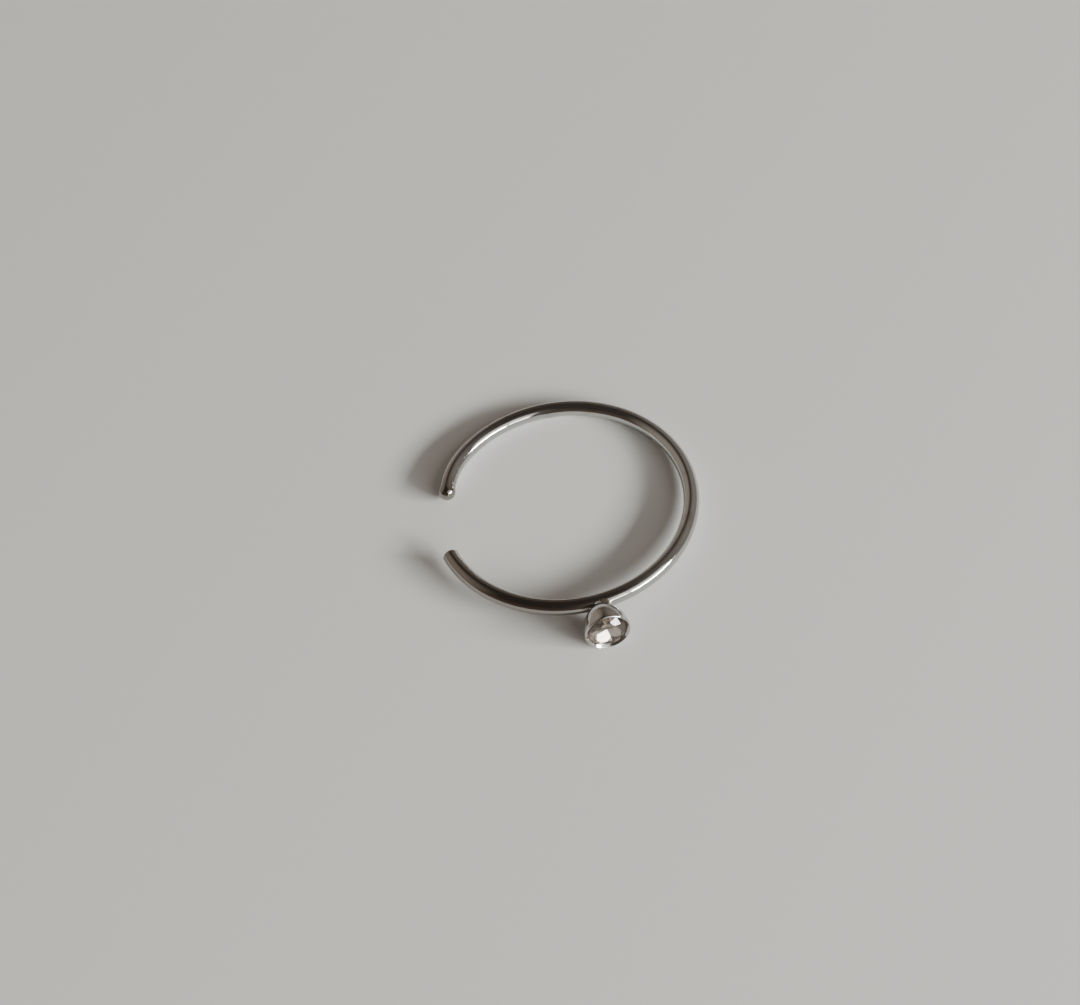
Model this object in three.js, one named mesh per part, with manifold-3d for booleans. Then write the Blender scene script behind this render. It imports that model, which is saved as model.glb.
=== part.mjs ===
// A clip-on nose ring: an open hoop of round polished steel wire that grips the nostril between
// its two ends, with a small round cup soldered on its outside and a clear brilliant-cut stone
// rubbed into the cup. Lengths are in millimetres, angles in degrees.
//
// The hoop is drawn flat, with its centre at the origin, the cup towards -Y and the open side
// towards -X. At the end the whole ring is leaned to the way it lies on a table, on the cup and
// on the far side of the wire.
import * as THREE from 'three';
import { ConvexGeometry } from 'three/addons/geometries/ConvexGeometry.js';
import { mergeVertices } from 'three/addons/utils/BufferGeometryUtils.js';
import Module from 'manifold-3d';

const wasm = await Module();
wasm.setup();

const degree = Math.PI / 180;

// Hoop wire.
const wireDiameter = 0.6;
const boreDiameter = 9.0;
const wireRadius = wireDiameter / 2;
const hoopRadius = (boreDiameter + wireDiameter) / 2;
const wireSides = 24;
const wireSteps = 108;

// The wire starts at the balled end, runs clockwise round the back, the right and the front, and
// stops at the plain end. Angles are taken from +X, and the two ends leave the clip gap.
const ballEndAngle = 153.4;
const plainEndAngle = 190.6 - 360;
const tuckSpan = 22;
const tuckDepth = 0.16;

// Balled end, melted round, and plain end, cut square with its edge taken off.
const ballDiameter = 0.66;
const ballSides = 24;
const ballRows = 16;
const plainEndEdge = 0.12;
const edgeSteps = 5;

// Cup, turned about its own axis. Heights run along that axis from the middle of the wire.
const cupLift = 5;
const cupSides = 48;
const cupOutside = [
  { height: 0.1, radius: 0.25 },
  { height: 0.26, radius: 0.31 },
  { height: 0.38, radius: 0.36 },
  { height: 0.5, radius: 0.46 },
  { height: 0.62, radius: 0.57 },
  { height: 0.76, radius: 0.675 },
  { height: 0.92, radius: 0.76 },
  { height: 1.1, radius: 0.82 },
  { height: 1.28, radius: 0.855 },
  { height: 1.46, radius: 0.87 },
];
const lip = [
  { height: 1.52, radius: 0.862 },
  { height: 1.555, radius: 0.837 },
  { height: 1.57, radius: 0.79 },
  { height: 1.505, radius: 0.725 },
];
const cupInside = [
  { height: 1.5, radius: 0.73 },
  { height: 1.482, radius: 0.76 },
  { height: 1.305, radius: 0.76 },
  { height: 1.26, radius: 0.7 },
  { height: 1.13, radius: 0.65 },
  { height: 0.9, radius: 0.52 },
  { height: 0.74, radius: 0.31 },
];
const cupFloor = 0.67;

// Solder between cup and wire, which has run a little to one side of the cup.
const solderSideways = 0.17;
const solderHeight = 0.3;
const solderHalfSize = { alongWire: 0.4, acrossWire: 0.33, alongCup: 0.24 };

// Round stone, with its girdle under the lip and its table standing out of the cup. It has a
// brilliant-cut crown and a shallow back of four wide facets.
const stoneRadius = 0.74;
const tableRadius = 0.48;
const starRadius = 0.6;
const girdleTop = 1.47;
const girdleThickness = 0.05;
const crownHeight = 0.215;
const backDepth = 0.32;
const stoneFold = 8;
const backFold = 4;
const stoneTurn = 57;

// How the ring lies: leaned so that the ground touches the cup and the far side of the hoop.
const restLean = 2.322;
const restUphill = 260.07;

const steel = new THREE.MeshStandardMaterial({
  name: 'polished_steel',
  color: 0xb8b4ae,
  metalness: 1,
  roughness: 0.22,
});
const crystal = new THREE.MeshStandardMaterial({
  name: 'clear_crystal',
  color: 0xeef2f6,
  metalness: 0,
  roughness: 0.05,
});

// The middle line of the wire: a round arc whose balled end is bent in a little more tightly.
class HoopLine extends THREE.Curve {
  getPoint(share, target = new THREE.Vector3()) {
    const turned = share * (ballEndAngle - plainEndAngle);
    const nearEnd = Math.max(0, 1 - turned / tuckSpan);
    const radius = hoopRadius - tuckDepth * nearEnd ** 2;
    const angle = (ballEndAngle - turned) * degree;
    return target.set(radius * Math.cos(angle), radius * Math.sin(angle), 0);
  }
}

// A closed solid for joining and cutting, from the surface of a shape. Corners that are closer
// together than this distance are one corner.
const sameCorner = 1e-5;

function solid(geometry) {
  const surface = geometry.clone();
  surface.deleteAttribute('normal');
  surface.deleteAttribute('uv');
  const welded = mergeVertices(surface, sameCorner);
  const mesh = new wasm.Mesh({
    numProp: 3,
    vertProperties: new Float32Array(welded.attributes.position.array),
    triVerts: new Uint32Array(welded.index.array),
  });
  return new wasm.Manifold(mesh);
}

// The surface of a joined or cut solid.
function surfaceOf(body) {
  const mesh = body.getMesh();
  const geometry = new THREE.BufferGeometry();
  geometry.setAttribute('position', new THREE.BufferAttribute(mesh.vertProperties, 3));
  geometry.setIndex(new THREE.BufferAttribute(mesh.triVerts, 1));
  geometry.computeVertexNormals();
  return geometry;
}

// Turns a profile of heights and radii about the z axis.
function turned(profile, sides) {
  const points = profile.map((row) => new THREE.Vector2(row.radius, row.height));
  const geometry = new THREE.LatheGeometry(points, sides);
  return geometry.rotateX(Math.PI / 2);
}

// Stands a shape made along z on a point, with its z axis along a direction.
function standOn(geometry, point, direction) {
  const up = new THREE.Vector3(0, 0, 1);
  const turn = new THREE.Quaternion().setFromUnitVectors(up, direction.clone().normalize());
  return geometry.applyQuaternion(turn).translate(point.x, point.y, point.z);
}

const hoopLine = new HoopLine();

function wire() {
  const section = new THREE.Shape();
  section.absarc(0, 0, wireRadius, 0, 2 * Math.PI, false);
  return new THREE.ExtrudeGeometry(section, {
    extrudePath: hoopLine,
    steps: wireSteps,
    curveSegments: wireSides / 2,
  });
}

function balledEnd() {
  const ball = new THREE.SphereGeometry(ballDiameter / 2, ballSides, ballRows);
  const start = hoopLine.getPoint(0);
  return ball.translate(start.x, start.y, start.z);
}

// What is taken off round the edge of the plain end, from the wire's side to its flat face. The
// cut starts just outside the wire and reaches well past its side and its end.
const cutStart = 0.01;
const cutBeyond = 0.2;

function edgeTakenOff() {
  const startRadius = wireRadius + cutStart;
  const profile = [
    { radius: startRadius + cutBeyond, height: -plainEndEdge },
    { radius: startRadius + cutBeyond, height: cutBeyond },
    { radius: startRadius - plainEndEdge, height: cutBeyond },
  ];
  for (let step = edgeSteps; step >= 0; step -= 1) {
    const angle = (step / edgeSteps) * 90 * degree;
    profile.push({
      radius: startRadius - plainEndEdge * (1 - Math.cos(angle)),
      height: -plainEndEdge * (1 - Math.sin(angle)),
    });
  }
  profile.push(profile[0]);
  return standOn(turned(profile, wireSides), hoopLine.getPoint(1), hoopLine.getTangent(1));
}

const cupAxis = new THREE.Vector3(0, -Math.cos(cupLift * degree), Math.sin(cupLift * degree));
const cupFoot = new THREE.Vector3(0, -hoopRadius, 0);

function cup() {
  const profile = [
    { height: cupOutside[0].height, radius: 0 },
    ...cupOutside,
    ...lip,
    ...cupInside,
    { height: cupFloor, radius: 0 },
  ];
  return standOn(turned(profile, cupSides), cupFoot, cupAxis);
}

function solder() {
  const drop = new THREE.SphereGeometry(1, ballSides, ballRows);
  drop.scale(solderHalfSize.alongWire, solderHalfSize.alongCup, solderHalfSize.acrossWire);
  return drop.translate(solderSideways, -hoopRadius - solderHeight, 0);
}

// The corners of the cut stone: the table, the star points, both edges of the girdle and the
// culet. The star points lie in the planes of the main facets. The girdle's lower corners lie in
// the planes of the back facets, so the girdle is thickest where two back facets meet.
function stone() {
  const half = Math.cos(Math.PI / stoneFold);
  const table = girdleTop + crownHeight;
  const crownSlope = crownHeight / (stoneRadius - tableRadius);
  const star = girdleTop + (stoneRadius - starRadius * half) * crownSlope;
  const culet = girdleTop - girdleThickness - backDepth;
  const perBack = (2 * stoneFold) / backFold;
  const foot = (corner) => {
    const fromMiddle = ((corner + perBack / 2) % perBack) - perBack / 2;
    return culet + backDepth * Math.cos((fromMiddle * Math.PI) / stoneFold);
  };
  const rings = [
    { radius: tableRadius, corners: stoneFold, offset: 0, height: () => table },
    { radius: starRadius, corners: stoneFold, offset: 0.5, height: () => star },
    { radius: stoneRadius, corners: 2 * stoneFold, offset: 0, height: () => girdleTop },
    { radius: stoneRadius, corners: 2 * stoneFold, offset: 0, height: foot },
  ];
  const corners = [new THREE.Vector3(0, 0, culet)];
  for (const ring of rings) {
    for (let corner = 0; corner < ring.corners; corner += 1) {
      const angle = stoneTurn * degree + ((corner + ring.offset) / ring.corners) * 2 * Math.PI;
      const across = ring.radius * Math.cos(angle);
      const along = ring.radius * Math.sin(angle);
      corners.push(new THREE.Vector3(across, along, ring.height(corner)));
    }
  }
  return standOn(new ConvexGeometry(corners), cupFoot, cupAxis);
}

const metal = surfaceOf(
  solid(wire())
    .subtract(solid(edgeTakenOff()))
    .add(solid(balledEnd()))
    .add(solid(cup()))
    .add(solid(solder())),
);

const pieces = [
  { name: 'hoop_and_cup', geometry: metal, material: steel },
  { name: 'stone', geometry: surfaceOf(solid(stone())), material: crystal },
];

// Leans the ring to its rest, then sets it on the ground and centres it.
const uphill = restUphill * degree;
const leanAxis = new THREE.Vector3(Math.sin(uphill), -Math.cos(uphill), 0);
const lean = new THREE.Quaternion().setFromAxisAngle(leanAxis, restLean * degree);
const outline = new THREE.Box3();
for (const piece of pieces) {
  piece.geometry.applyQuaternion(lean);
  piece.geometry.computeBoundingBox();
  outline.union(piece.geometry.boundingBox);
}
const middle = outline.getCenter(new THREE.Vector3());

const noseRing = new THREE.Group();
noseRing.name = 'clip_on_nose_ring';
for (const piece of pieces) {
  piece.geometry.translate(-middle.x, -middle.y, -outline.min.z);
  const mesh = new THREE.Mesh(piece.geometry, piece.material);
  mesh.name = piece.name;
  noseRing.add(mesh);
}

export default noseRing;
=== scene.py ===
# A clip-on nose ring of polished steel wire with one clear stone, lying on white paper.
# The ring's sections give sizes in millimetres in the hoop's own plane, with the hoop's middle at
# the origin, the stone towards -y and the open side towards -x, and laid() puts the ring where it
# lies. The paper, the light and the camera are in metres.
import math

import bpy
import numpy as np
from mathutils import Matrix, Vector


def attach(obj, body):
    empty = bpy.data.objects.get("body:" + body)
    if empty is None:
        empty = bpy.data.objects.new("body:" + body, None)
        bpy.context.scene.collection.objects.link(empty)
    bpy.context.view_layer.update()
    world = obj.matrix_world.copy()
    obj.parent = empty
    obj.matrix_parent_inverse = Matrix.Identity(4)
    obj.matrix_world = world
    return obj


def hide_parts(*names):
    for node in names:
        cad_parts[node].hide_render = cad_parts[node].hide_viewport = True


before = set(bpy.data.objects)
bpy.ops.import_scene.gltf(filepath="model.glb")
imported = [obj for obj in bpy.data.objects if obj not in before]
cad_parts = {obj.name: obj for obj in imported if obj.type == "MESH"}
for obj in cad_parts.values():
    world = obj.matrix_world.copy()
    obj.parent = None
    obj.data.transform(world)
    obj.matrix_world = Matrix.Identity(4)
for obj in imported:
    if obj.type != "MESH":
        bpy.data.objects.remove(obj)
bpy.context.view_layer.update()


# The wire: round stainless wire, drawn, polished and bent over a mandrel into an open hoop.
# One end is melted into a small ball and bent in a little more tightly, the other is cut square
# and its edge rubbed off. The hoop springs open and grips the nostril between its two ends.
WIRE_RADIUS = 0.3
HOOP_RADIUS = 4.8
BALL_END_ANGLE = 153.4
PLAIN_END_ANGLE = 190.6 - 360.0
TUCK_SPAN = 22.0
TUCK_DEPTH = 0.16
BALL_RADIUS = 0.33
BALL_FADE = 0.17
PLAIN_END_EDGE = 0.11
LINE_POINTS = 6000
WIRE_SIDES = 72
WIRE_RINGS = 460
BALL_RINGS = 22
EDGE_RINGS = 10
FACE_SHARES = np.array([0.97, 0.6, 0.3, 0.0])
# Where the wire's colour is darkened along its length: near the balled end, and over the last
# stretch to the plain end.
WIRE_DARKENED_REACHES = [
    # clear from, full at, strength, colour
    (0.9, 0.1, 0.8, (0.28, 0.26, 0.23)),
    (18.6, 22.0, 0.85, (0.32, 0.295, 0.265))]

# How the ring lies: where the hoop's middle is, and how far it leans up towards one direction.
HOOP_MIDDLE = np.array([-0.0512, 0.7150, 0.4942])
LEAN = math.radians(2.322)
UPHILL = math.radians(260.07)
METRES = 0.001

# The finish of polished steel: how many times smoother or rougher its drawing lines make it, the
# roughness that haze and scratches add, the depth of scratches and the height of the grain as
# shares of the lines' depth, and the strength of this whole relief.
SMOOTHEST_LINE = 0.75
ROUGHEST_LINE = 1.35
HAZE_ROUGHNESS = 0.05
SCRATCH_ROUGHNESS = 0.12
SCRATCH_DEPTH = 0.6
GRAIN_HEIGHT = 0.25
RELIEF_STRENGTH = 0.35


def laid(points):
    """Points of the hoop's plane, put where the ring lies, in metres.

    The turn p cos t + (k x p) sin t + k (k . p)(1 - cos t), where t is the lean and k is the
    level line across the uphill direction, and then a move to the hoop's middle."""
    k = np.array([math.sin(UPHILL), -math.cos(UPHILL), 0.0])
    along = (points @ k)[..., None] * k
    turned = points * math.cos(LEAN) + np.cross(k, points) * math.sin(LEAN)
    return (turned + along * (1.0 - math.cos(LEAN)) + HOOP_MIDDLE) * METRES


def travelled(points):
    """The way travelled to each point: the sum of the straight steps before it."""
    steps = np.linalg.norm(np.diff(points, axis=0), axis=1)
    return np.concatenate([[0.0], np.cumsum(steps)])


def bent_line():
    """The wire's middle line as points r (cos a, sin a).

    The angle a falls from the balled end to the plain end, and r is the hoop's radius less a
    tuck that grows as the square of the way into the last few degrees before the ball."""
    turned = np.linspace(0.0, BALL_END_ANGLE - PLAIN_END_ANGLE, LINE_POINTS)
    tuck = TUCK_DEPTH * np.clip(1.0 - turned / TUCK_SPAN, 0.0, None) ** 2
    angle = np.radians(BALL_END_ANGLE - turned)
    circle = np.stack([np.cos(angle), np.sin(angle), np.zeros_like(angle)], axis=-1)
    return (HOOP_RADIUS - tuck)[:, None] * circle


def on_bent_line(length):
    """Points of the bent line and its outward side there, at lengths from the ball's centre.

    Between its points the line is straight, and it runs straight on beyond its two ends."""
    line = bent_line()
    way = travelled(line)
    heading = np.gradient(line, way, axis=0)
    heading /= np.linalg.norm(heading, axis=1)[:, None]
    on_line = np.clip(length, 0.0, way[-1])
    point = np.stack([np.interp(on_line, way, line[:, i]) for i in range(3)], axis=-1)
    ahead = np.stack([np.interp(on_line, way, heading[:, i]) for i in range(3)], axis=-1)
    point = point + ahead * (length - on_line)[:, None]
    outward = np.stack([-ahead[:, 1], ahead[:, 0], np.zeros_like(on_line)], axis=-1)
    return point, outward


def wire_profile():
    """Lengths along the wire and its half thickness there, from the ball's tip to the face.

    The ball is the arc sqrt(R^2 - x^2), then its extra thickness fades as exp(-(x / f)^2) into
    the even wire, and the plain end is a quarter circle down to its flat face, whose rings are
    shares of its radius."""
    whole = travelled(bent_line())[-1]
    ball_turn = np.linspace(0.0, math.pi / 2, BALL_RINGS)
    ball_length = -BALL_RADIUS * np.cos(ball_turn)
    ball_half = BALL_RADIUS * np.sin(ball_turn)
    even_length = np.linspace(0.0, 1.0, WIRE_RINGS)[1:] * (whole - PLAIN_END_EDGE)
    swell = (BALL_RADIUS - WIRE_RADIUS) * np.exp(-(even_length / BALL_FADE) ** 2)
    edge_turn = np.linspace(0.0, math.pi / 2, EDGE_RINGS)[1:]
    edge_length = whole - PLAIN_END_EDGE * (1.0 - np.sin(edge_turn))
    edge_half = WIRE_RADIUS - PLAIN_END_EDGE * (1.0 - np.cos(edge_turn))
    face_half = (WIRE_RADIUS - PLAIN_END_EDGE) * FACE_SHARES
    face_length = np.full(face_half.size, whole)
    length = np.concatenate([ball_length, even_length, edge_length, face_length])
    half = np.concatenate([ball_half, WIRE_RADIUS + swell, edge_half, face_half])
    return length, half


def swept(length, half, sides):
    """Rings p + h (cos b outward + sin b up) round the wire's line, in the hoop's plane."""
    point, outward = on_bent_line(length)
    turn = np.linspace(0.0, 2.0 * math.pi, sides, endpoint=False)
    up = np.array([0.0, 0.0, 1.0])
    spokes = np.cos(turn)[:, None] * outward[:, None, :] + np.sin(turn)[:, None] * up
    return point[:, None, :] + half[:, None, None] * spokes


def placed(name, contents):
    """An object with its mesh, light or lens, put in the scene at the origin."""
    piece = bpy.data.objects.new(name, contents)
    bpy.context.scene.collection.objects.link(piece)
    return piece


def ringed_skin(name, rings, along):
    """A closed skin over rings of points, from one pole to the other.

    rings is (ring, side, 3), its first and last rings drawn together into a pole. Neighbouring
    rings are joined by four-sided faces, and each pole by a fan. All faces are turned round if
    six times the volume, the sum of a . (b x c) over their triangles, is negative. The map
    called along_around holds the distance along the skin and the share of the way round."""
    count, sides = rings.shape[:2]
    body = rings[1:-1].reshape(-1, 3)
    points = np.concatenate([body, rings[[0, -1]].mean(axis=1)])
    first_pole, last_pole = len(body), len(body) + 1
    ring = np.repeat(np.arange(1, count - 2), sides)[:, None]
    side = np.arange(sides)[:, None]
    # The ring and the side that each corner lies on, for the walls and for the two fans.
    walls = (ring + [0, 0, 1, 1], np.tile(side, (count - 3, 1)) + [0, 1, 1, 0])
    first_fan = (np.tile([0, 1, 1], (sides, 1)), side + [0.5, 1.0, 0.0])
    last_fan = (np.tile([count - 1, count - 2, count - 2], (sides, 1)), side + [0.5, 0.0, 1.0])
    faces, maps, volume = [], [], 0.0
    for on_ring, on_side in (walls, first_fan, last_fan):
        corners = (on_ring - 1) * sides + on_side.astype(int) % sides
        corners = np.where(on_ring == 0, first_pole, corners)
        corners = np.where(on_ring == count - 1, last_pole, corners)
        for k in range(1, corners.shape[1] - 1):
            a, b, c = (points[corners[:, i]] for i in (0, k, k + 1))
            volume += np.einsum("ij,ij->", a, np.cross(b, c))
        faces.append(corners)
        maps.append(np.stack([along[on_ring], on_side / sides], axis=-1))
    if volume < 0.0:
        faces = [corners[:, ::-1] for corners in faces]
        maps = [places[:, ::-1] for places in maps]
    mesh = bpy.data.meshes.new(name)
    mesh.from_pydata(points.tolist(), [], [face for part in faces for face in part.tolist()])
    layer = mesh.uv_layers.new(name="along_around")
    places = np.concatenate([part.reshape(-1, 2) for part in maps])
    layer.data.foreach_set("uv", places.astype(np.float32).ravel())
    mesh.shade_smooth()
    return placed(name, mesh)


def emptied(look):
    """The node tree of a material or of the room, with nothing in it."""
    look.use_nodes = True
    look.node_tree.nodes.clear()
    return look.node_tree


def joined(tree, kind, settings=None, values=None, links=None):
    """A node of one kind with its settings, its socket values and what feeds its sockets."""
    node = tree.nodes.new(kind)
    for key, value in (settings or {}).items():
        setattr(node, key, value)
    for key, value in (values or {}).items():
        node.inputs[key].default_value = value
    for key, source in (links or {}).items():
        tree.links.new(source, node.inputs[key])
    return node


def stretched(tree, place, scale, turn=(0.0, 0.0, 0.0)):
    """A place multiplied by a scale along each axis and then turned."""
    return joined(tree, "ShaderNodeMapping", values={"Scale": scale, "Rotation": turn},
                  links={"Vector": place}).outputs["Vector"]


def clouded(tree, place, scale, detail, roughness=0.5, distortion=0.0):
    """Clouds of grey from 0 to 1: layers of smooth noise, each twice as fine as the one before
    and roughness times as strong, with detail layers on top of the first."""
    return joined(tree, "ShaderNodeTexNoise",
                  values={"Scale": scale, "Detail": detail, "Roughness": roughness,
                          "Distortion": distortion},
                  links={"Vector": place}).outputs["Fac"]


def banded(tree, source, low, high, dark=0.0, light=1.0):
    """Maps a grey from between low and high to between dark and light, and holds it there."""
    return joined(tree, "ShaderNodeMapRange", {"clamp": True},
                  {"From Min": low, "From Max": high, "To Min": dark, "To Max": light},
                  {"Value": source}).outputs["Result"]


def laid_over(tree, under, over, share):
    """under + share (over - under), where under is a colour or the socket that gives one."""
    mix = joined(tree, "ShaderNodeMix", {"data_type": "RGBA"}, {"B": (*over, 1.0)},
                 {"Factor": share})
    if isinstance(under, tuple):
        mix.inputs["A"].default_value = (*under, 1.0)
    else:
        tree.links.new(under, mix.inputs["A"])
    return mix.outputs["Result"]


def plus_part(tree, whole, part, times):
    """whole + times part."""
    return joined(tree, "ShaderNodeMath", {"operation": "MULTIPLY_ADD"}, {1: times},
                  {0: part, 2: whole}).outputs["Value"]


def polished_steel(name, steel, tarnish, line_stretch, line_depth, roughness, darkened_reaches=()):
    """Polished steel: drawing or turning lines on the along_around map, hair scratches and
    finger haze on object coordinates, and a brown tarnish that gathers in soft patches. Each
    darkened reach is (clear_from, full_at, strength, colour), places in millimetres along the
    wire where the steel's colour is darkened towards that colour."""
    material = bpy.data.materials.new(name)
    tree = emptied(material)
    place = joined(tree, "ShaderNodeTexCoord").outputs["Object"]
    along_around = joined(tree, "ShaderNodeUVMap", {"uv_map": "along_around"}).outputs["UV"]
    millimetres = stretched(tree, place, scale=(1.0 / METRES, 1.0 / METRES, 1.0 / METRES))
    crossing = stretched(tree, place, scale=(900.0, 14000.0, 5000.0), turn=(0.4, 0.9, 0.6))
    lengthways = stretched(tree, along_around, scale=line_stretch)
    lines = clouded(tree, lengthways, scale=1.0, detail=5.0, roughness=0.65)
    haze = clouded(tree, millimetres, scale=1.1, detail=4.0, roughness=0.6, distortion=0.6)
    grain = clouded(tree, millimetres, scale=26.0, detail=2.0)
    hair = clouded(tree, crossing, scale=1.0, detail=1.0, distortion=0.8)
    scratches = banded(tree, hair, low=0.66, high=0.72)
    patches = banded(tree, haze, low=0.5, high=0.75)

    colour = laid_over(tree, steel, tarnish, patches)
    along = joined(tree, "ShaderNodeSeparateXYZ", links={"Vector": along_around}).outputs["X"]
    # Over each reach the steel's colour is darkened towards the reach's colour.
    for clear_from, full_at, strength, darker_colour in darkened_reaches:
        reach = banded(tree, along, low=clear_from, high=full_at, light=strength)
        colour = laid_over(tree, colour, darker_colour, reach)

    rough = banded(tree, lines, low=0.3, high=0.7,
                   dark=SMOOTHEST_LINE * roughness, light=ROUGHEST_LINE * roughness)
    rough = plus_part(tree, rough, patches, HAZE_ROUGHNESS)
    rough = plus_part(tree, rough, scratches, SCRATCH_ROUGHNESS)
    relief = plus_part(tree, lines, scratches, -SCRATCH_DEPTH)
    relief = plus_part(tree, relief, grain, GRAIN_HEIGHT)
    bump = joined(tree, "ShaderNodeBump",
                  values={"Strength": RELIEF_STRENGTH, "Distance": line_depth * METRES},
                  links={"Height": relief}).outputs["Normal"]
    shader = joined(tree, "ShaderNodeBsdfPrincipled",
                    values={"Metallic": 1.0, "IOR": 2.5},
                    links={"Base Color": colour, "Roughness": rough, "Normal": bump})
    joined(tree, "ShaderNodeOutputMaterial", links={"Surface": shader.outputs["BSDF"]})
    return material


length, half = wire_profile()
wire = ringed_skin("hoop_wire", laid(swept(length, half, WIRE_SIDES)), length)
wire.data.materials.append(polished_steel(
    "drawn_polished_wire", steel=(0.54, 0.545, 0.53), tarnish=(0.42, 0.395, 0.36),
    line_stretch=(0.35, 46.0, 1.0), line_depth=0.0016, roughness=0.09, darkened_reaches=WIRE_DARKENED_REACHES))
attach(wire, "root")
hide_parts("hoop_and_cup")


# The cup: a small round stamped cup of the same steel, soldered by its foot to the outside of
# the hoop. Its lip is turned in over the stone's girdle with a burnisher, which leaves it
# rounded and a little uneven, and its inside is open under the stone.
CUP_LIFT = math.radians(5.0)
CUP_SIDES = 128
CUP_STEPS = 6
CUP_FOOT = np.array([0.0, -HOOP_RADIUS, 0.0])
CUP_AXIS = np.array([0.0, -math.cos(CUP_LIFT), math.sin(CUP_LIFT)])
CUP_UP = np.array([0.0, math.sin(CUP_LIFT), math.cos(CUP_LIFT)])
CUP_ACROSS = np.array([1.0, 0.0, 0.0])
CUP_PROFILE = np.array([
    # height, radius: the foot in the solder and the outside of the bowl
    (0.10, 0.00), (0.10, 0.18), (0.14, 0.25), (0.26, 0.31), (0.38, 0.36), (0.50, 0.457),
    (0.62, 0.562), (0.76, 0.664), (0.92, 0.747), (1.10, 0.805), (1.28, 0.840), (1.42, 0.854),
    # the rounded lip, and its bright-cut slope down to the stone
    (1.50, 0.853), (1.545, 0.843), (1.564, 0.826), (1.567, 0.815), (1.563, 0.8065),
    (1.500, 0.7415), (1.4955, 0.739),
    # the groove that holds the girdle, and the bowl's inside
    (1.491, 0.742), (1.482, 0.752), (1.455, 0.760), (1.40, 0.760), (1.310, 0.758),
    (1.275, 0.705), (1.20, 0.675), (1.13, 0.650), (0.90, 0.520), (0.74, 0.310), (0.67, 0.14),
    (0.66, 0.00)])
LIP_UNEVEN = 0.006
LIP_HEIGHT = 1.55
LIP_WIDTH = 0.07
LIP_WAVES = [
    # waves round, start, strength
    (3.0, 0.6, 1.0),
    (7.0, 2.1, 0.6)]


def smooth_through(rows, steps):
    """A smooth curve through the rows: on each stretch the cubic whose slopes at its two ends
    are half the difference of the rows on either side."""
    padded = np.concatenate([rows[:1], rows, rows[-1:]])
    share = np.linspace(0.0, 1.0, steps, endpoint=False)[:, None]
    a, b, c, d = padded[:-3, None], padded[1:-2, None], padded[2:-1, None], padded[3:, None]
    curve = 0.5 * (2.0 * b + (c - a) * share + (2.0 * a - 5.0 * b + 4.0 * c - d) * share ** 2
                   + (3.0 * b - a - 3.0 * c + d) * share ** 3)
    return np.concatenate([curve.reshape(-1, rows.shape[1]), rows[-1:]])


def turned_on_cup(height, radius, start=0.0):
    """Points foot + h axis + r (cos b across + sin b up), with b once round from start."""
    turn = start + np.linspace(0.0, 2.0 * math.pi, height.shape[-1], endpoint=False)
    spokes = np.cos(turn)[:, None] * CUP_ACROSS + np.sin(turn)[:, None] * CUP_UP
    return CUP_FOOT + height[..., None] * CUP_AXIS + radius[..., None] * spokes


# The burnisher presses the lip down by a sum of sines round it, between nothing and the full
# unevenness, and its pressure fades as exp(-((h - lip) / width)^2) away from the lip.
cup_curve = smooth_through(CUP_PROFILE, CUP_STEPS)
cup_curve[:, 1] = np.clip(cup_curve[:, 1], 0.0, None)
cup_turn = np.linspace(0.0, 2.0 * math.pi, CUP_SIDES, endpoint=False)
waver = sum(strength * np.sin(waves * cup_turn + start) for waves, start, strength in LIP_WAVES)
highest = sum(strength for _, _, strength in LIP_WAVES)
pressure = np.exp(-((cup_curve[:, :1] - LIP_HEIGHT) / LIP_WIDTH) ** 2)
cup_height = cup_curve[:, :1] - LIP_UNEVEN * pressure * (0.5 + 0.5 * waver / highest)
cup_radius = np.repeat(cup_curve[:, 1:], CUP_SIDES, axis=1)
cup = ringed_skin("stone_cup", laid(turned_on_cup(cup_height, cup_radius)), travelled(cup_curve))
cup.data.materials.append(polished_steel(
    "burnished_cup_steel", steel=(0.57, 0.56, 0.54), tarnish=(0.40, 0.365, 0.32),
    line_stretch=(30.0, 3.0, 1.0), line_depth=0.0016, roughness=0.13))
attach(cup, "root")
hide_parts("hoop_and_cup")


# The solder: silver solder that ran round the cup's foot and a little way along the wire on one
# side of it. It is left as it flowed, so it is duller than the polished steel and lumpy.
SOLDER_SIDES = 96
SOLDER_RINGS = 28
SOLDER_SHIFT = 0.11
SOLDER_REACH = 0.33
SOLDER_RUN = 0.18
SOLDER_WRAP = math.radians(72.0)
SOLDER_ON_WIRE = 0.97 * WIRE_RADIUS
SOLDER_WAIST = 0.27
SOLDER_WAIST_HEIGHT = 0.31
SOLDER_WAIST_SHIFT = 0.6 * SOLDER_SHIFT
SOLDER_TOP_HEIGHT = 0.52
SOLDER_TOP_RADIUS = 0.44
SOLDER_INSET = 0.05
SOLDER_LUMPS = 0.016


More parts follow.
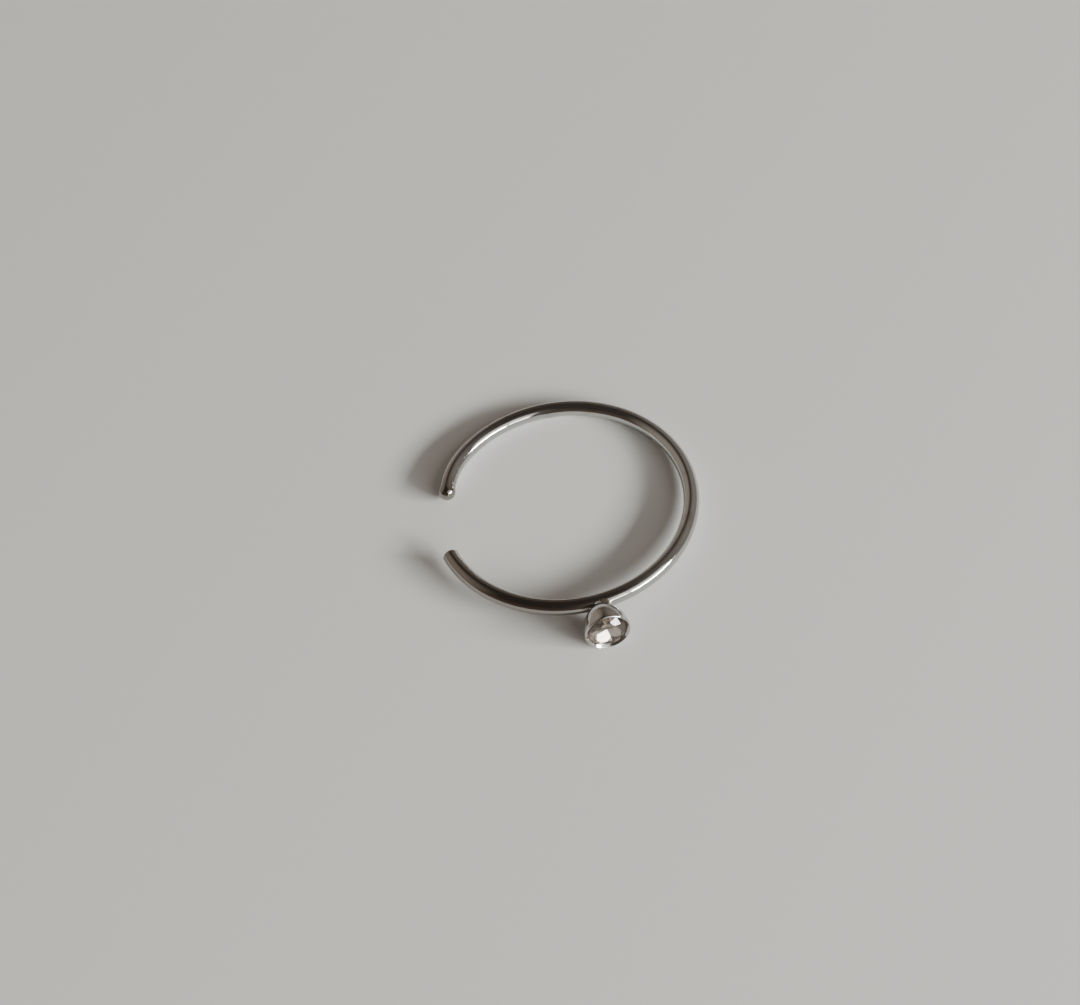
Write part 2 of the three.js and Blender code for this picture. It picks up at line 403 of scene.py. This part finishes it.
def solder_skin():
    """Rings of a fillet between wire and cup, drawn together inside both.

    Each spoke is the quadratic (1-t)^2 base + 2 t (1-t) waist + t^2 top: the base runs round on
    the wire, the top in the cup, and the waist pulls the fillet in. The lumps stand out from
    its middle line and are sin(3 b) + sin(5 b) cos(4 t), each sine shifted, times sin(pi t)."""
    turn = np.linspace(0.0, 2.0 * math.pi, SOLDER_SIDES, endpoint=False)
    reach = SOLDER_REACH * (1.0 + SOLDER_RUN * np.cos(turn))
    wrap = SOLDER_WRAP * np.sin(turn)
    base = np.stack([SOLDER_SHIFT + reach * np.cos(turn),
                     -HOOP_RADIUS - SOLDER_ON_WIRE * np.cos(wrap),
                     SOLDER_ON_WIRE * np.sin(wrap)], axis=-1)
    waist = turned_on_cup(np.full(SOLDER_SIDES, SOLDER_WAIST_HEIGHT),
                          np.full(SOLDER_SIDES, SOLDER_WAIST)) + SOLDER_WAIST_SHIFT * CUP_ACROSS
    top = turned_on_cup(np.full(SOLDER_SIDES, SOLDER_TOP_HEIGHT),
                        np.full(SOLDER_SIDES, SOLDER_TOP_RADIUS))
    share = np.linspace(0.0, 1.0, SOLDER_RINGS)[:, None, None]
    fillet = (1.0 - share) ** 2 * base + 2.0 * share * (1.0 - share) * waist + share ** 2 * top
    lumps = np.sin(3.0 * turn + 0.4) + np.sin(5.0 * turn + 1.9) * np.cos(4.0 * share[..., 0])
    swell = SOLDER_LUMPS * lumps * np.sin(math.pi * share[..., 0])
    outward = fillet - fillet.mean(axis=1, keepdims=True)
    outward /= np.linalg.norm(outward, axis=-1, keepdims=True)
    fillet = fillet + swell[..., None] * outward
    in_wire = np.array([SOLDER_SHIFT, -HOOP_RADIUS - SOLDER_INSET, 0.0])
    in_cup = CUP_FOOT + (SOLDER_TOP_HEIGHT + SOLDER_INSET) * CUP_AXIS
    poles = [np.tile(point, (1, SOLDER_SIDES, 1)) for point in (in_wire, in_cup)]
    return np.concatenate([poles[0], fillet, poles[1]])


solder = ringed_skin("solder_joint", laid(solder_skin()),
                     np.linspace(0.0, 1.0, SOLDER_RINGS + 2))
solder.data.materials.append(polished_steel(
    "flowed_solder", steel=(0.44, 0.41, 0.37), tarnish=(0.24, 0.20, 0.16),
    line_stretch=(2.0, 5.0, 1.0), line_depth=0.006, roughness=0.24))
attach(solder, "root")
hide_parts("hoop_and_cup")


# The stone: a round stone of clear crystal glass, held by its girdle under the cup's lip. It is
# cut and polished to a brilliant in front, with a table, eight stars, eight main facets and
# sixteen halves. Its shallow back has four wide facets, silvered to throw the light back.
STONE_RADIUS = 0.74
TABLE_RADIUS = 0.48
STAR_RADIUS = 0.60
GIRDLE_TOP = 1.47
GIRDLE_THICKNESS = 0.05
CROWN_HEIGHT = 0.215
BACK_DEPTH = 0.32
FRONT_FOLD = 8
BACK_FOLD = 4
STONE_TURN = math.radians(57.0)
FACET_BEVEL = 0.003
FACET_LEAST_ANGLE = math.radians(5.0)
GLASS_INDEX = 1.54


def cut_stone():
    """Corners and faces of the stone about the cup's axis, with its back facets last.

    Corners lie on rings. The star corners are at the height where they fall in the planes of
    the main facets, and the girdle's lower corners where they fall in the planes of the back:
    culet + depth cos(a), where a is the way round from the middle of the nearest back facet."""
    half = math.cos(math.pi / FRONT_FOLD)
    crown_slope = CROWN_HEIGHT / (STONE_RADIUS - TABLE_RADIUS)
    star_height = GIRDLE_TOP + (STONE_RADIUS - STAR_RADIUS * half) * crown_slope
    culet = GIRDLE_TOP - GIRDLE_THICKNESS - BACK_DEPTH
    round_girdle = 2 * FRONT_FOLD
    per_back = round_girdle // BACK_FOLD
    from_middle = (np.arange(round_girdle) + per_back // 2) % per_back - per_back // 2
    foot_heights = culet + BACK_DEPTH * np.cos(from_middle * math.pi / FRONT_FOLD)

    def ring(height, radius, count, offset=0.0):
        """Corners round the axis, turned by offset times the step between two of them."""
        heights = np.broadcast_to(height, (count,))
        start = STONE_TURN + offset * 2.0 * math.pi / count
        return turned_on_cup(heights, np.full(count, radius), start)

    corners = np.concatenate([
        ring(GIRDLE_TOP + CROWN_HEIGHT, TABLE_RADIUS, FRONT_FOLD),
        ring(star_height, STAR_RADIUS, FRONT_FOLD, offset=0.5),
        ring(GIRDLE_TOP, STONE_RADIUS, round_girdle),
        ring(foot_heights, STONE_RADIUS, round_girdle),
        ring(culet, 0.0, 1)])
    table, star, girdle, under, tip = np.cumsum(
        [0, FRONT_FOLD, FRONT_FOLD, round_girdle, round_girdle]).tolist()
    faces = [list(range(table, table + FRONT_FOLD))]
    for k in range(FRONT_FOLD):
        after = (k + 1) % FRONT_FOLD
        before = (k - 1) % FRONT_FOLD
        faces.append([star + k, table + after, table + k])
        faces.append([star + before, girdle + 2 * k, star + k, table + k])
        faces.append([girdle + 2 * k, girdle + 2 * k + 1, star + k])
        faces.append([girdle + 2 * k + 1, girdle + 2 * after, star + k])
    for k in range(round_girdle):
        after = (k + 1) % round_girdle
        faces.append([under + k, under + after, girdle + after, girdle + k])
    for k in range(BACK_FOLD):
        last = k * per_back + per_back // 2
        edge = [under + (last - step) % round_girdle for step in range(per_back + 1)]
        faces.append([*edge, tip])
    return corners, faces


stone_corners, stone_faces = cut_stone()
stone_mesh = bpy.data.meshes.new("stone_brilliant")
stone_mesh.from_pydata(laid(stone_corners).tolist(), [], stone_faces)
stone = placed("stone_brilliant", stone_mesh)
bevel = stone.modifiers.new("polished_facet_edges", "BEVEL")
bevel.width = FACET_BEVEL * METRES
bevel.segments = 1
bevel.limit_method = "ANGLE"
bevel.angle_limit = FACET_LEAST_ANGLE

crystal = bpy.data.materials.new("clear_crystal")
tree = emptied(crystal)
place = joined(tree, "ShaderNodeTexCoord").outputs["Object"]
smear = clouded(tree, place, scale=2600.0, detail=4.0, roughness=0.6, distortion=0.8)
glass = joined(tree, "ShaderNodeBsdfPrincipled",
               values={"Base Color": (1.0, 1.0, 1.0, 1.0), "Transmission Weight": 1.0,
                       "IOR": GLASS_INDEX},
               links={"Roughness": banded(tree, smear, low=0.5, high=0.75, light=0.06)})
joined(tree, "ShaderNodeOutputMaterial", links={"Surface": glass.outputs["BSDF"]})
stone.data.materials.append(crystal)

silvered = bpy.data.materials.new("silvered_back")
tree = emptied(silvered)
place = joined(tree, "ShaderNodeTexCoord").outputs["Object"]
brushed = clouded(tree, place, scale=3500.0, detail=4.0, roughness=0.6, distortion=0.4)
worn = banded(tree, brushed, low=0.48, high=0.78)
# The back's dull brown is painted reflection: it darkens and browns what the silvered back
# mirrors, standing for brown surroundings.
silver_with_painted_brown = laid_over(tree, (0.60, 0.53, 0.46), (0.40, 0.32, 0.25), worn)
dulled = banded(tree, brushed, low=0.3, high=0.7, dark=0.08, light=0.16)
mirror = joined(tree, "ShaderNodeBsdfPrincipled", values={"Metallic": 0.9},
                links={"Base Color": silver_with_painted_brown, "Roughness": dulled})
joined(tree, "ShaderNodeOutputMaterial", links={"Surface": mirror.outputs["BSDF"]})
stone.data.materials.append(silvered)
clear_faces = len(stone_faces) - BACK_FOLD
stone_mesh.polygons.foreach_set("material_index", [0] * clear_faces + [1] * BACK_FOLD)
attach(stone, "root")
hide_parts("stone")


# The paper that the ring lies on: a sheet of plain, matt, nearly white paper, laid flat. It
# reaches well past the picture on every side.
PAPER_HALF = 0.6
PAPER_WHITE = (0.765, 0.77, 0.75, 1.0)

paper_mesh = bpy.data.meshes.new("paper")
paper_mesh.from_pydata([(-PAPER_HALF, -PAPER_HALF, 0.0), (PAPER_HALF, -PAPER_HALF, 0.0),
                        (PAPER_HALF, PAPER_HALF, 0.0), (-PAPER_HALF, PAPER_HALF, 0.0)],
                       [], [(0, 1, 2, 3)])
paper = placed("paper", paper_mesh)
paper_look = bpy.data.materials.new("white_paper")
tree = emptied(paper_look)
matt = joined(tree, "ShaderNodeBsdfPrincipled",
              values={"Base Color": PAPER_WHITE, "Roughness": 0.9, "Specular IOR Level": 0.15})
joined(tree, "ShaderNodeOutputMaterial", links={"Surface": matt.outputs["BSDF"]})
paper.data.materials.append(paper_look)


# The light: soft daylight from a tall window of four panes, low on the right in front. Its lower
# panes are the brighter ones and its bar breaks the streaks on the wire. The rest is a dim room
# with a dark ceiling, and paler walls behind the ring, on its right and round the window.
WINDOW_DISTANCE = 0.5
WINDOW_PANES = [
    # name, turn, rise, width and height in degrees seen from the ring, radiance
    ("pane_low_far", -41.5, 18.7, 33.0, 9.5, 66.0),
    ("pane_low_near", -71.0, 19.0, 17.0, 9.5, 10.0),
    ("pane_high_far", -41.5, 40.0, 33.0, 26.0, 1.2),
    ("pane_high_near", -72.0, 40.0, 17.0, 26.0, 1.0)]
DAYLIGHT = (1.0, 1.0, 0.980)
ROOM_LOW = (0.126, 0.093, 0.073)
CEILING = (0.056, 0.047, 0.039)
PALER_WALLS = [
    # turn, rise, cosine at the edge, cosine where full, colour
    (140.0, 14.0, 0.62, 0.86, (0.39, 0.330, 0.280)),
    (22.0, 16.0, 0.50, 0.86, (0.30, 0.268, 0.238)),
    (-50.0, 35.0, 0.70, 0.95, (0.19, 0.166, 0.146))]


def towards(turn, rise):
    """The unit vector (cos rise cos turn, cos rise sin turn, sin rise), angles in degrees."""
    turn, rise = math.radians(turn), math.radians(rise)
    return Vector((math.cos(rise) * math.cos(turn), math.cos(rise) * math.sin(turn),
                   math.sin(rise)))


for name, turn, rise, wide, high, radiance in WINDOW_PANES:
    pane = bpy.data.lights.new(name, "AREA")
    pane.shape = "RECTANGLE"
    pane.size = 2.0 * WINDOW_DISTANCE * math.tan(math.radians(wide / 2.0))
    pane.size_y = 2.0 * WINDOW_DISTANCE * math.tan(math.radians(high / 2.0))
    pane.energy = radiance * math.pi * pane.size * pane.size_y
    pane.color = DAYLIGHT
    holder = placed(name, pane)
    holder.location = towards(turn, rise) * WINDOW_DISTANCE
    holder.rotation_euler = towards(turn, rise).to_track_quat("Z", "Y").to_euler()

# The room fades from its lower colour to the ceiling's, and each paler wall is laid over it by
# the cosine of the angle to the wall's middle.
room = bpy.data.worlds.new("room")
bpy.context.scene.world = room
tree = emptied(room)
direction = joined(tree, "ShaderNodeTexCoord").outputs["Generated"]
rising = joined(tree, "ShaderNodeSeparateXYZ", links={"Vector": direction}).outputs["Z"]
look = laid_over(tree, ROOM_LOW, CEILING, banded(tree, rising, low=0.35, high=0.80))
for turn, rise, edge, full, colour in PALER_WALLS:
    cosine = joined(tree, "ShaderNodeVectorMath", {"operation": "DOT_PRODUCT"},
                    {1: towards(turn, rise)}, {0: direction}).outputs["Value"]
    look = laid_over(tree, look, colour, banded(tree, cosine, low=edge, high=full))
background = joined(tree, "ShaderNodeBackground", values={"Strength": 1.0},
                    links={"Color": look})
joined(tree, "ShaderNodeOutputWorld", links={"Surface": background.outputs["Background"]})


# The camera: held above and in front of the ring, looking down at its flat side, rolled a
# little clockwise. Its angles are in degrees.
AIM = Vector((-0.00094, 0.00101, 0.00064))
CAMERA_DISTANCE = 0.09632
CAMERA_TURN = -96.47
CAMERA_RISE = 53.43
CAMERA_ROLL = -9.81
CAMERA_ANGLE = 24.0
CAMERA_NEAREST = 0.001

lens = bpy.data.cameras.new("camera")
lens.sensor_fit = "HORIZONTAL"
lens.angle = math.radians(CAMERA_ANGLE)
lens.clip_start = CAMERA_NEAREST
camera = placed("camera", lens)
back = towards(CAMERA_TURN, CAMERA_RISE)
roll = Matrix.Rotation(math.radians(CAMERA_ROLL), 3, "Z")
facing = back.to_track_quat("Z", "Y").to_matrix() @ roll
camera.matrix_world = Matrix.Translation(AIM + back * CAMERA_DISTANCE) @ facing.to_4x4()
bpy.context.scene.camera = camera
